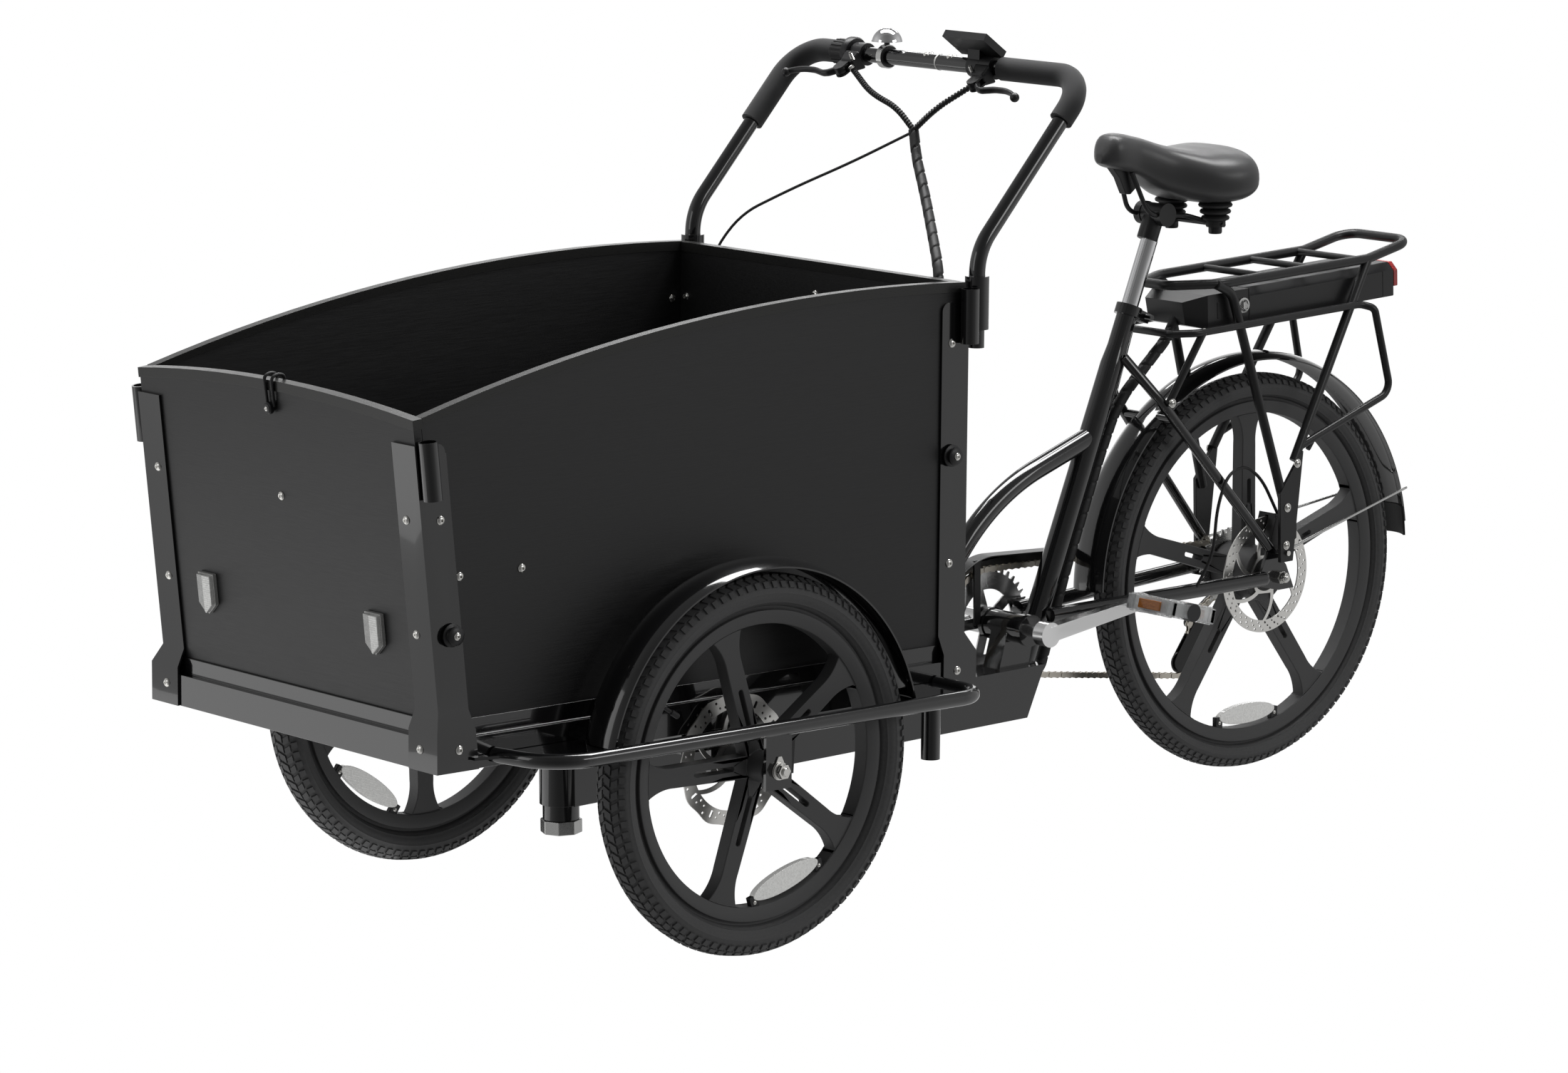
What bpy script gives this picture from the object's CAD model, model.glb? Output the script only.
import bpy
import bmesh
from math import asin, atan2, copysign, cos, degrees, pi, radians, sin, sqrt, tan
from mathutils import Matrix, Vector


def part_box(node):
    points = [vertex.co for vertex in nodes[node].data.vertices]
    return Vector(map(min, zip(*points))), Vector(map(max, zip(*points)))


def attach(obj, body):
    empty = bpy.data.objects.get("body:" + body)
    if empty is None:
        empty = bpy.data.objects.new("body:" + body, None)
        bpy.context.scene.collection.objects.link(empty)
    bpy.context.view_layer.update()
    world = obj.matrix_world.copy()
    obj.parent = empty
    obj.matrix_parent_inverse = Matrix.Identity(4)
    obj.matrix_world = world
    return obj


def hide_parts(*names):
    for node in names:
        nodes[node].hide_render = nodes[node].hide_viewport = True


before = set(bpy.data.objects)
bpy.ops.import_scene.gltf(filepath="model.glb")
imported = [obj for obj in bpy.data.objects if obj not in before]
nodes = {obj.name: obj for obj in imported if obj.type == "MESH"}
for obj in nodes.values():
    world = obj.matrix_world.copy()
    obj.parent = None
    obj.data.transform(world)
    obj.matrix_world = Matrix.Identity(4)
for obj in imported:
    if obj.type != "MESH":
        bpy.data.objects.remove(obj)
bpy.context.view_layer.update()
scene = bpy.context.scene

mm = 0.001
fullTurn = 2 * pi
moved = Matrix.Translation
axleLow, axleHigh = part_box("front_axles")
axleX = (axleLow.x + axleHigh.x) / 2
frontR, rearR, wheelBase = 253, 296, 1265
pitch = radians(1.2)  # the box carriage stands nose up
carrierTilt = radians(1.7)
rowSpace = moved((axleX, 0, 0)) @ Matrix.Scale(mm, 4)


def tilted(pivot, angle):  # the same space, turned about a line along Y
    return rowSpace @ moved(pivot) @ Matrix.Rotation(angle, 4, "Y") @ moved(-pivot)


boxSpace = tilted(Vector((0, 0, frontR)), -pitch)
rackSpace = tilted(Vector((-1140, 66, 742)), carrierTilt)
print("frame loaded, front axle at", round(axleX, 4))


def addObject(name, data):
    obj = bpy.data.objects.new(name, data)
    scene.collection.objects.link(obj)
    return obj


def axes(x, y, z):  # turn with these three directions as its axes
    return Matrix((x, y, z)).transposed().to_4x4()


camera = {"focal": 8111.34, "yaw": -2.28210728, "pitch": 0.18289768, "roll": 0.0068767,
          "place": (4763.95, 5950.08, 1912.89), "imageWide": 2200, "sensor": 36, "clipEnd": 60}


def setCamera():
    yaw, tip, roll = camera["yaw"], camera["pitch"], camera["roll"]
    ahead = Vector((cos(yaw) * cos(tip), sin(yaw) * cos(tip), -sin(tip)))
    side = Vector((sin(yaw), -cos(yaw), 0)).normalized()
    down = ahead.cross(side)
    across = side * cos(roll) + down * sin(roll)
    below = down * cos(roll) - side * sin(roll)
    data = bpy.data.cameras.new("photoCamera")
    data.sensor_width = camera["sensor"]
    data.lens = camera["focal"] * camera["sensor"] / camera["imageWide"]
    data.clip_end = camera["clipEnd"]
    place = moved(rowSpace @ Vector(camera["place"]))
    scene.camera = addObject("photoCamera", data)
    scene.camera.matrix_world = place @ axes(across, -below, -ahead)


setCamera()
print("camera set")


light = {"fill": 1.5, "ceiling": 0.42, "ceilingFrom": 0.35, "ceilingTo": 0.9, "farWall": (-0.62, -0.78, 0)}
studioRound = [(0.0, 0.08), (0.25, 0.2), (0.39, 0.33), (0.61, 0.36), (0.8, 0.26), (0.93, 0.24),
               (0.975, 0.6), (1.0, 1.0)]  # tones from the camera's side to the far wall
areas = {  # place, target, size, power
    "topBox": ((-0.7, -0.4, 3.4), (-0.2, 0, 0.4), (3.2, 1.2), 130),
    "frontBox": ((4.4, -0.6, 1.9), (0.2, 0, 0.5), (1.8, 2.2), 12),
    "sideBox": ((-1.6, 4.6, 2.4), (-0.4, 0, 0.5), (2.6, 1.2), 26),
    "rearBox": ((-3.4, -2.7, 3.3), (-0.3, 0, 0.7), (3.6, 0.4), 24),
    "floorCard": ((1.9, -1.3, 0.01), (1.9, -1.3, 1), (2.6, 2.2), 10)}


def addNode(tree, kind, inputs, **settings):
    node = tree.nodes.new("ShaderNode" + kind)
    for key, value in settings.items():
        setattr(node, key, value)
    setInputs(node, inputs)
    return node


def setInputs(node, inputs):
    for key, value in inputs.items():
        node.inputs[key].default_value = value


def wire(tree, *links):
    for start, output, end, socket in links:
        tree.links.new(start.outputs[output], end.inputs[socket])


def setLight():
    world = bpy.data.worlds.new("studio")
    scene.world = world
    world.use_nodes = True
    tree = world.node_tree
    tree.nodes.clear()
    out = addNode(tree, "OutputWorld", {})
    seen = addNode(tree, "Background", {"Color": (1, 1, 1, 1)})
    fill = addNode(tree, "Background", {"Strength": light["fill"]})
    coord = addNode(tree, "TexCoord", {})
    around = addNode(tree, "VectorMath", {1: light["farWall"]}, operation="DOT_PRODUCT")
    share = addNode(tree, "MapRange", {"From Min": -1})
    sides = addNode(tree, "ValToRGB", {})
    stops = sides.color_ramp.elements
    for place, tone in studioRound:
        stop = stops[0] if place == 0 else stops[-1] if place == 1 else stops.new(place)
        stop.color = (tone, tone, tone, 1)
    split = addNode(tree, "SeparateXYZ", {})
    above = addNode(tree, "MapRange", {"From Min": light["ceilingFrom"], "From Max": light["ceilingTo"],
                                       "To Min": 1, "To Max": light["ceiling"]})
    both = addNode(tree, "Math", {}, operation="MULTIPLY")
    path = addNode(tree, "LightPath", {})
    either = addNode(tree, "Math", {}, operation="MAXIMUM")
    mix = addNode(tree, "MixShader", {})
    wire(tree, (coord, "Generated", around, 0), (coord, "Generated", split, 0), (around, "Value", share, 0),
         (share, 0, sides, 0), (split, "Z", above, 0), (sides, 0, both, 0), (above, 0, both, 1),
         (both, 0, fill, "Color"), (path, "Is Camera Ray", either, 0),
         (path, "Is Transmission Ray", either, 1), (either, 0, mix, 0), (fill, 0, mix, 1), (seen, 0, mix, 2),
         (mix, 0, out, 0))
    for name, values in areas.items():
        addArea(name, *values)


def addArea(name, place, target, size, power):
    data = bpy.data.lights.new(name, "AREA")
    data.shape = "RECTANGLE"
    data.size, data.size_y = size
    data.energy = power
    obj = addObject(name, data)
    obj.location = place
    obj.rotation_euler = (Vector(target) - Vector(place)).to_track_quat("-Z", "Y").to_euler()
    obj.visible_camera = False


setLight()
scene.view_settings.view_transform = "Standard"
print("light set")


def makeMat(name, base, rough, metal=0, coat=0, coatRough=0.04, grain=0, stretch=(1, 1, 1), scale=80, bump=0,
            vary=0, detail=3, clear=0, sheen=0, glow=0, bumpDepth=0.0006):
    mat = bpy.data.materials.new(name)
    mat.use_nodes = True
    tree = mat.node_tree
    shader = tree.nodes["Principled BSDF"]
    setInputs(shader, {"Base Color": (*base, 1), "Roughness": rough, "Metallic": metal, "Coat Weight": coat,
                       "Coat Roughness": coatRough, "Transmission Weight": clear, "Sheen Weight": sheen})
    if glow:
        setInputs(shader, {"Emission Color": (*base, 1), "Emission Strength": glow})
    if grain or bump or vary:
        coord = addNode(tree, "TexCoord", {})
        place = addNode(tree, "Mapping", {"Scale": stretch})
        noise = addNode(tree, "TexNoise", {"Scale": scale, "Detail": detail})
        wire(tree, (coord, "Object", place, 0), (place, 0, noise, 0))
    if grain:
        dark, pale = [c * (1 - grain) for c in base], [c * (1 + grain) for c in base]
        tint = addNode(tree, "Mix", {"A": (*dark, 1), "B": (*pale, 1)}, data_type="RGBA")
        wire(tree, (noise, 0, tint, "Factor"), (tint, "Result", shader, "Base Color"))
    if vary:
        spread = addNode(tree, "MapRange", {"To Min": rough - vary, "To Max": rough + vary})
        wire(tree, (noise, 0, spread, 0), (spread, 0, shader, "Roughness"))
    if bump:
        raised = addNode(tree, "Bump", {"Strength": bump, "Distance": bumpDepth})
        wire(tree, (noise, 0, raised, "Height"), (raised, 0, shader, "Normal"))
    return mat


prism = {"uneven": 0.15, "bump": 0.7, "depth": 0.001, "shade": 0.72}


def prismMat(name, base, scale, metal=0.15, rough=0.18, glow=0):  # moulded reflector cells
    mat = makeMat(name, base, rough, metal, coat=1, glow=glow)
    tree = mat.node_tree
    shader = tree.nodes["Principled BSDF"]
    coord = addNode(tree, "TexCoord", {})
    cells = addNode(tree, "TexVoronoi", {"Scale": scale, "Randomness": prism["uneven"]})
    raised = addNode(tree, "Bump", {"Strength": prism["bump"], "Distance": prism["depth"]})
    dark = [c * prism["shade"] for c in base]
    shade = addNode(tree, "Mix", {"A": (*dark, 1), "B": (*base, 1)}, data_type="RGBA")
    wire(tree, (coord, "Object", cells, "Vector"), (cells, "Distance", raised, "Height"),
         (cells, "Color", shade, "Factor"), (shade, "Result", shader, "Base Color"),
         (raised, 0, shader, "Normal"))
    return mat


glossBlack = makeMat("glossBlack", (0.006, 0.006, 0.0065), 0.12, coat=1, coatRough=0.03, scale=35, bump=0.015,
                     detail=1)
rackBlack = makeMat("rackBlack", (0.012, 0.012, 0.0125), 0.34, scale=900, bump=0.08, vary=0.06)
castBlack = makeMat("castBlack", (0.07, 0.07, 0.071), 0.54, scale=700, bump=0.12, vary=0.06)
plySide = makeMat("plySide", (0.0135, 0.0135, 0.014), 0.44, grain=0.5, stretch=(1.2, 6, 26), scale=26,
                  bump=0.16, vary=0.09, detail=8)
plyFront = makeMat("plyFront", (0.0135, 0.0135, 0.014), 0.42, grain=0.45, stretch=(6, 1.2, 26), scale=26,
                   bump=0.14, vary=0.09, detail=8)
trimGrey = makeMat("trimGrey", (0.03, 0.03, 0.029), 0.3, metal=0.35, stretch=(1, 1, 8), scale=120,
                   vary=0.08)
tyreBlack = makeMat("tyreBlack", (0.072, 0.072, 0.073), 0.62, grain=0.25, scale=240, bump=0.2,
                    vary=0.1)
steel = makeMat("steel", (0.62, 0.62, 0.61), 0.26, metal=1, scale=300, stretch=(1, 1, 6), vary=0.08)
discSteel = makeMat("discSteel", (0.86, 0.85, 0.82), 0.34, metal=1, scale=420, stretch=(1, 8, 1),
                    vary=0.1)
boltSteel = makeMat("boltSteel", (0.78, 0.77, 0.74), 0.16, metal=1, scale=900, vary=0.04)
chrome = makeMat("chrome", (0.85, 0.85, 0.86), 0.06, metal=1, scale=60, vary=0.02)
alloy = makeMat("alloy", (0.94, 0.94, 0.94), 0.2, metal=1, scale=160, stretch=(1, 1, 5), vary=0.07)
chainSteel = makeMat("chainSteel", (0.66, 0.62, 0.55), 0.32, metal=1, scale=500, vary=0.1)
saddleSkin = makeMat("saddleSkin", (0.056, 0.056, 0.057), 0.33, scale=900, bump=0.2, vary=0.06,
                     sheen=0.05)
foamBlack = makeMat("foamBlack", (0.016, 0.016, 0.017), 0.86, grain=0.3, scale=1100, bump=0.5, sheen=0.2)
rubber = makeMat("rubber", (0.012, 0.012, 0.0125), 0.52, scale=500, bump=0.1, vary=0.08)
plastic = makeMat("plastic", (0.011, 0.011, 0.012), 0.36, scale=1500, bump=0.1, vary=0.05)
shellBlack = makeMat("shellBlack", (0.009, 0.009, 0.0095), 0.36, coat=0.1, scale=1200, bump=0.03)
clearPlastic = makeMat("clearPlastic", (0.86, 0.87, 0.87), 0.1, clear=0.75, scale=300, vary=0.05)
whitePrism = prismMat("whitePrism", (0.82, 0.82, 0.8), 420, glow=0.22)
shieldPrism = prismMat("shieldPrism", (0.78, 0.78, 0.76), 330, glow=0.05)
shieldHatch = prismMat("shieldHatch", (0.42, 0.42, 0.41), 620, glow=0.03)
amberPrism = prismMat("amberPrism", (0.42, 0.13, 0.008), 520, metal=0.1)
redPrism = prismMat("redPrism", (0.48, 0.006, 0.004), 420, metal=0.1)
ringWhite = makeMat("ringWhite", (0.7, 0.7, 0.68), 0.4, scale=300, vary=0.05)
print("materials made")


def roundEdges(obj, width, angle=30):
    edge = obj.modifiers.new("edge", "BEVEL")
    edge.width = width * mm
    edge.segments = 2
    edge.limit_method = "ANGLE"
    edge.angle_limit = radians(angle)
    edge.harden_normals = True


cad = {"weld": 0.00002, "sharp": 32, "rackSwell": 1.1}


def cadLook(names, mat, bevel):
    for name in names.split():
        obj = nodes[name]
        obj.data.materials.clear()
        obj.data.materials.append(mat)
        if obj.data.has_custom_normals:
            obj.data.attributes.remove(obj.data.attributes["custom_normal"])
        obj.data.shade_smooth()
        weld = obj.modifiers.new("weld", "WELD")
        weld.merge_threshold = cad["weld"]
        roundEdges(obj, bevel, cad["sharp"])


cadLook("main_beam seat_tube bottom_bracket chainstays seatstays seat_clamp steering_pin floor_frame "
        "corner_posts guard_rails top_tube", glossBlack, 0.8)
cadLook("cargo_floor side_panels rear_panel", plySide, 0.6)
cadLook("front_panel", plyFront, 0.6)
cadLook("edge_trims", trimGrey, 0.5)
cadLook("rear_rack chain_guard derailleur rear_caliper front_calipers saddle_rails", rackBlack, 0.5)
cadLook("left_front_rim right_front_rim rear_rim", castBlack, 2.2)
cadLook("controller_housing battery_case", shellBlack, 2.0)
cadLook("control_clamps display_button left_brake_lever right_brake_lever", plastic, 0.6)
cadLook("shift_grip", rubber, 0.8)
cadLook("battery_lock front_axles rear_axle_and_stays rear_sprockets", steel, 0.4)
cadLook("chainring crank_arms", alloy, 0.7)
cadLook("seatpost bell_dome", chrome, 0.5)
cadLook("tail_light", redPrism, 1.2)
thicker = nodes["rear_rack"].modifiers.new("thicker", "DISPLACE")  # tubes a little stouter
thicker.strength = cad["rackSwell"] * mm
thicker.mid_level = 0
print("frame pieces dressed")


def blob(name, parts, mat, body, space=rowSpace, sharp=40, bevel=0):  # one mesh from many forms
    verts, faces = [], []
    for partVerts, partFaces, place in parts:
        start = len(verts)
        move = space @ place
        verts += [move @ Vector(v) for v in partVerts]
        faces += [[start + i for i in face] for face in partFaces]
    mesh = bpy.data.meshes.new(name)
    mesh.from_pydata(verts, [], faces)
    shape = bmesh.new()
    shape.from_mesh(mesh)
    bmesh.ops.recalc_face_normals(shape, faces=shape.faces)
    shape.to_mesh(mesh)
    shape.free()
    mesh.shade_smooth()
    mesh.set_sharp_from_angle(angle=radians(sharp))
    mesh.materials.append(mat)
    obj = addObject(name, mesh)
    if bevel:
        roundEdges(obj, bevel)
    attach(obj, body)
    return obj


still = Matrix.Identity(4)


def polar(radius, turn):
    return radius * cos(turn), radius * sin(turn)


def spoke(turn):  # direction in a wheel's plane
    return Vector((cos(turn), 0, sin(turn)))


def ngon(count, radius):
    return [polar(radius, fullTurn * k / count) for k in range(count)]


def squared(value, power):  # pulls a circle towards a square
    return copysign(abs(value) ** power, value)


def skinFaces(rows, count):  # quads between closed rings, then both end caps
    faces = []
    for row in range(rows - 1):
        for k in range(count):
            a, b = row * count + k, row * count + (k + 1) % count
            faces.append((a, b, b + count, a + count))
    last = (rows - 1) * count
    return faces + [tuple(range(count)), tuple(range(last, last + count))]


def lathe(profile, count=32):  # profile of (radius, height), turned round Z
    verts = []
    for radius, height in profile:
        verts += [(x, y, height) for x, y in ngon(count, radius)]
    return verts, skinFaces(len(profile), count)


def rod(radius, low, high, count, bore=0.1):
    return lathe([(bore, low), (radius, low), (radius, high), (bore, high)], count)


def slabForm(outline, low, high):  # outline in X and Y, pushed from low to high along Z
    count = len(outline)
    verts = [(x, y, low) for x, y in outline] + [(x, y, high) for x, y in outline]
    faces = [tuple(range(count)), tuple(range(count, 2 * count))]
    faces += [(k, (k + 1) % count, (k + 1) % count + count, k + count) for k in range(count)]
    return verts, faces


def boxForm(xs, ys, zs):
    return slabForm([(xs[0], ys[0]), (xs[1], ys[0]), (xs[1], ys[1]), (xs[0], ys[1])], zs[0], zs[1])


def domeForm(radius, tall, socket=0.45):  # button head with a socket
    profile = [(radius * 0.96, -0.5), (radius, 0)]
    for k in range(1, 6):
        angle = pi / 2 * k / 6
        profile.append((radius * cos(angle), tall * sin(angle)))
    profile += [(radius * socket, tall), (radius * socket * 0.92, tall * 0.35), (0.02, tall * 0.3)]
    return lathe(profile, 24)


def aim(place, direction):
    turn = Vector(direction).to_track_quat("Z", "Y").to_matrix().to_4x4()
    return moved(Vector(place)) @ turn


def sideAxes(way):  # X along the given way, Y across the machine
    across = Vector((0, 1, 0))
    return axes(way, across, way.cross(across))


def roundPath(points, bends, steps):
    points = [Vector(p) for p in points]
    path = [points[0]]
    for k in range(1, len(points) - 1):
        back = (points[k - 1] - points[k]).normalized()
        ahead = (points[k + 1] - points[k]).normalized()
        half = back.angle(ahead) / 2
        bend = bends[k - 1]
        reach = bend / tan(half)
        centre = points[k] + (back + ahead).normalized() * (bend / sin(half))
        entry, leave = points[k] + back * reach - centre, points[k] + ahead * reach - centre
        for step in range(steps + 1):
            path.append(centre + entry.slerp(leave, step / steps) * bend)
    path.append(points[-1])
    return path


def cordPath(points, share=0.45, steps=6):  # bends as wide as the legs beside them allow
    points = [Vector(p) for p in points]
    bends = []
    for before, corner, after in zip(points, points[1:], points[2:]):
        half = (before - corner).angle(after - corner) / 2
        bends.append(share * min((before - corner).length, (after - corner).length) * tan(half))
    return roundPath(points, bends, steps)


def tube(name, path, radius, mat, body, space=rowSpace, ring=6):
    data = bpy.data.curves.new(name, "CURVE")
    data.dimensions = "3D"
    data.bevel_depth = radius * mm
    data.bevel_resolution = ring
    data.use_fill_caps = True
    line = data.splines.new("POLY")
    line.points.add(len(path) - 1)
    for point, at in zip(line.points, path):
        point.co = (*(space @ Vector(at)), 1)
    line.use_smooth = True
    data.materials.append(mat)
    obj = addObject(name, data)
    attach(obj, body)
    return obj


def evenPath(path, step):
    path = [Vector(p) for p in path]
    made, left = [path[0]], step
    for a, b in zip(path, path[1:]):
        run = (b - a).length
        if run < 1e-6:
            continue
        at = left
        while at <= run:
            made.append(a.lerp(b, at / run))
            at += step
        left = at - run
    return made


def aheadOf(line, k):  # direction of a path at one of its points
    return (line[min(k + 1, len(line) - 1)] - line[max(k - 1, 0)]).normalized()


def wrapped(path, radius, turnLength, groove, depth, step=1.6, count=20, slope=0.35):  # spiral wrap
    line = evenPath(path, step)
    verts = []
    side = Vector((0.3, 0.8, 0.5))  # any way that isn't the path's own
    for k, at in enumerate(line):
        ahead = aheadOf(line, k)
        side = (side - ahead * side.dot(ahead)).normalized()
        other = ahead.cross(side)
        for n in range(count):
            share = n / count
            turn = (k * step / turnLength - share) % 1
            out = radius - (depth if turn < groove else depth * slope * (1 - turn))
            angle = fullTurn * share
            verts.append(at + (side * cos(angle) + other * sin(angle)) * out)
    return verts, skinFaces(len(line), count), still


# wheels
frontTyre = {"r": frontR, "bead": 205, "half": 25.6, "lugs": 104, "tall": 2.6}
rearTyre = {"r": rearR, "bead": 255, "half": 23.4, "lugs": 124, "tall": 2.6}
tyreShape = {"steps": 60, "reach": 152, "belly": 1.5, "ridges": ((88, 93), (124, 129)), "ridge": 0.7,
             "foot": 5, "footHalf": 10, "around": 128}
lugShape = {"sunk": -0.8, "lean": 0.8, "leanTurn": 1.2, "leanAlong": 0.5}
treadRows = [(50, 72, 1, 0, 0.62, 0), (27, 47, 1, 0.42, 0.7, 0.28), (2, 24, 0.5, 0, 0.74, -0.36)]
wheelAxis = Matrix.Rotation(-pi / 2, 4, "X")  # Z of a turned form becomes Y


def tyreSection(size, angle):
    base = size["r"] - size["tall"]
    middle = (base + size["bead"]) / 2 + tyreShape["belly"]
    return middle + (base - middle) * cos(angle), size["half"] * sin(angle)


def tyreForm(size):
    form = tyreShape
    profile = []
    for k in range(form["steps"] + 1):
        tilt = -form["reach"] + 2 * form["reach"] * k / form["steps"]
        angle = radians(tilt)
        r, y = tyreSection(size, angle)
        lift = form["ridge"] if any(low < abs(tilt) < high for low, high in form["ridges"]) else 0
        profile.append((r + lift * cos(angle), y + lift * sin(angle)))
    foot = [(size["bead"] - form["foot"], hand * form["footHalf"]) for hand in (-1, 1)]  # seated in the rim
    verts, faces = lathe([foot[0]] + profile + [foot[1], foot[0]], form["around"])
    return verts, faces[:-2], wheelAxis  # the ring closes on itself, so no caps


def lug(size, low, high, start, wide, skew):
    form = lugShape
    verts = []
    for level, inset in ((form["sunk"], 0), (size["tall"], form["lean"])):
        for part in (0, 1):
            angle = radians((low, high)[part] + (inset if part == 0 else -inset) * form["leanTurn"])
            r, y = tyreSection(size, angle)
            r, y = r + level * cos(angle), y + level * sin(angle)
            for end in (0, 1):
                lean = inset * form["leanAlong"]
                turn = (start + skew * part + (lean if end == 0 else wide - lean)) / size["r"]
                verts.append((r * cos(turn), y, r * sin(turn)))
    faces = [(0, 1, 3, 2), (4, 5, 7, 6), (0, 1, 5, 4), (2, 3, 7, 6), (0, 2, 6, 4), (1, 3, 7, 5)]
    return verts, faces, still


def treadParts(size):  # rows give two angles, a share of the shift, then start, width and skew in steps
    parts = []
    step = fullTurn * size["r"] / size["lugs"]
    for k in range(size["lugs"]):
        for hand in (1, -1):
            shift = 0 if hand > 0 else step / 2
            for near, far, share, start, wide, skew in treadRows:
                low, high = sorted((hand * near, hand * far))
                begin = k * step + shift * share + step * start
                parts.append(lug(size, low, high, begin, step * wide, hand * step * skew))
    return parts


def fitTyre(name, node, body, size, centre):
    space = rowSpace @ moved(centre)
    parts = [tyreForm(size)] + treadParts(size)
    obj = blob(name, parts, tyreBlack, body, space, sharp=28)
    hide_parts(node)


leftHub, rightHub = Vector((0, 358, frontR)), Vector((0, -358, frontR))
rearHub = Vector((-wheelBase, 0, rearR))
fitTyre("leftTyre", "left_front_tyre", "left_wheel", frontTyre, leftHub)
fitTyre("rightTyre", "right_front_tyre", "right_wheel", frontTyre, rightHub)
fitTyre("rearTyre", "rear_tyre", "rear_wheel", rearTyre, rearHub)
print("tyres made")


frontDisc = {"r": 90, "band": 22, "hub": 27, "arms": 6, "armHalf": 3.6, "sweep": 0.5, "wave": 1.4,
             "waves": 12, "thick": 1.9, "y": 317}
rearDisc = {"r": 87, "band": 18, "hub": 27, "arms": 6, "armHalf": 3.4, "sweep": 0.55, "wave": 0,
            "waves": 12, "thick": 1.9, "y": 45}
waveHoles = {"count": 36, "slot": (5.4, 2.3), "r": (2.0, 1.7), "outer": (4.2, 7.6), "inner": (4.4, 6.4),
             "lag": 0.05}
plainHoles = {"count": 48, "r": (2.1, 1.7), "first": 3.4, "step": 5.2, "lag": 0.062}
hubHoles = {"count": 6, "at": 22, "turn": 0.2, "r": 2.6, "bore": 8}


def discOutlines(size):
    hub, half, sweep = size["hub"], size["armHalf"], size["sweep"]
    inner = size["r"] - size["band"]
    rim = []
    for k in range(240):
        turn = fullTurn * k / 240
        rim.append(polar(size["r"] - size["wave"] + size["wave"] * cos(size["waves"] * turn), turn))
    rings = [rim]
    for arm in range(size["arms"]):
        first, second = fullTurn * arm / size["arms"], fullTurn * (arm + 1) / size["arms"]
        low, high = first + sweep + half / inner, second + sweep - half / inner
        window = [polar(inner, low + (high - low) * (k / 12)) for k in range(13)]  # along the band
        for edge, near, far, hand in ((second, inner, hub, -1), (first, hub, inner, 1)):  # in, then out again
            for k in range(9):
                radius = near + (far - near) * (k + 1) / 10
                bow = sweep * (radius - hub) / (inner - hub)
                window.append(polar(radius, edge + bow + hand * half / radius))
        rings.append(window)
    rings.append(ngon(32, hubHoles["bore"]))
    return rings


def holeRings(size, wavy):
    holes = waveHoles if wavy else plainHoles
    outer, inner = size["r"] - 2 * size["wave"], size["r"] - size["band"]
    rings = []
    for k in range(holes["count"]):
        turn = fullTurn * k / holes["count"]
        kind = k % 3
        if wavy and kind == 0:
            rings.append(slotRing((outer + inner) / 2, turn, *holes["slot"]))
            continue
        if wavy:
            wide = outer - holes["outer"][0] if kind == 1 else inner + holes["inner"][0]
            close = inner + holes["inner"][1] if kind == 1 else outer - holes["outer"][1]
        else:
            wide = inner + holes["first"] + holes["step"] * kind
            close = inner + holes["first"] + holes["step"] * ((kind + 2) % 3)
        rings.append(dot(wide, turn, holes["r"][0]))
        rings.append(dot(close, turn + holes["lag"], holes["r"][1]))
    for k in range(hubHoles["count"]):
        turn = fullTurn * k / hubHoles["count"] + hubHoles["turn"]
        rings.append(dot(hubHoles["at"], turn, hubHoles["r"]))
    return rings


def dot(radius, turn, size):
    middleX, middleY = polar(radius, turn)
    return [(middleX + x, middleY + y) for x, y in ngon(10, size)]


def slotRing(radius, turn, half, wide):
    c, s = cos(turn), sin(turn)
    ring = []
    for x, y in ngon(16, wide):
        y += copysign(half - wide, y)
        ring.append(((radius + y) * c - x * s, (radius + y) * s + x * c))
    return ring


def fitDisc(name, node, body, size, centre, wavy):
    data = bpy.data.curves.new(name, "CURVE")
    data.dimensions = "2D"
    data.fill_mode = "BOTH"
    data.extrude = size["thick"] / 2 * mm
    for ring in discOutlines(size) + holeRings(size, wavy):
        line = data.splines.new("POLY")
        line.points.add(len(ring) - 1)
        for point, (x, y) in zip(line.points, ring):
            point.co = (x * mm, y * mm, 0, 1)
        line.use_cyclic_u = True
        line.use_smooth = False
    data.materials.append(discSteel)
    obj = addObject(name, data)
    obj.matrix_world = moved(rowSpace @ Vector(centre)) @ Matrix.Rotation(pi / 2, 4, "X")
    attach(obj, body)
    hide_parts(node)


rearDiscPlace = (-wheelBase, rearDisc["y"], rearR)
fitDisc("leftDisc", "left_front_rotor", "left_wheel", frontDisc, (0, frontDisc["y"], frontR), True)
fitDisc("rightDisc", "right_front_rotor", "right_wheel", frontDisc, (0, -frontDisc["y"], frontR), True)
fitDisc("rearDisc", "rear_rotor", "rear_wheel", rearDisc, rearDiscPlace, False)
blob("rearCarrier", [(*rod(25, -1.5, 1.5, 40, 9), aim(rearDiscPlace, (0, 1, 0)))], rackBlack, "rear_wheel")
print("brake discs made")


spokeReflector = {"half": 58, "wide": 15, "thick": 5, "off": 6, "clip": 7, "clipSpan": (-2, 16),
                  "clipThick": 4, "screw": (3.2, 1.8)}
valve = [(0.1, 36), (3.6, 36), (4.0, 34), (4.0, 22), (2.7, 21), (2.7, 5), (5, 3), (5, -4), (0.1, -4)]


def lensForm(half, wide, thick):
    return slabForm([(half * x, wide * y) for x, y in ngon(40, 1)], -thick, thick)


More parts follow.
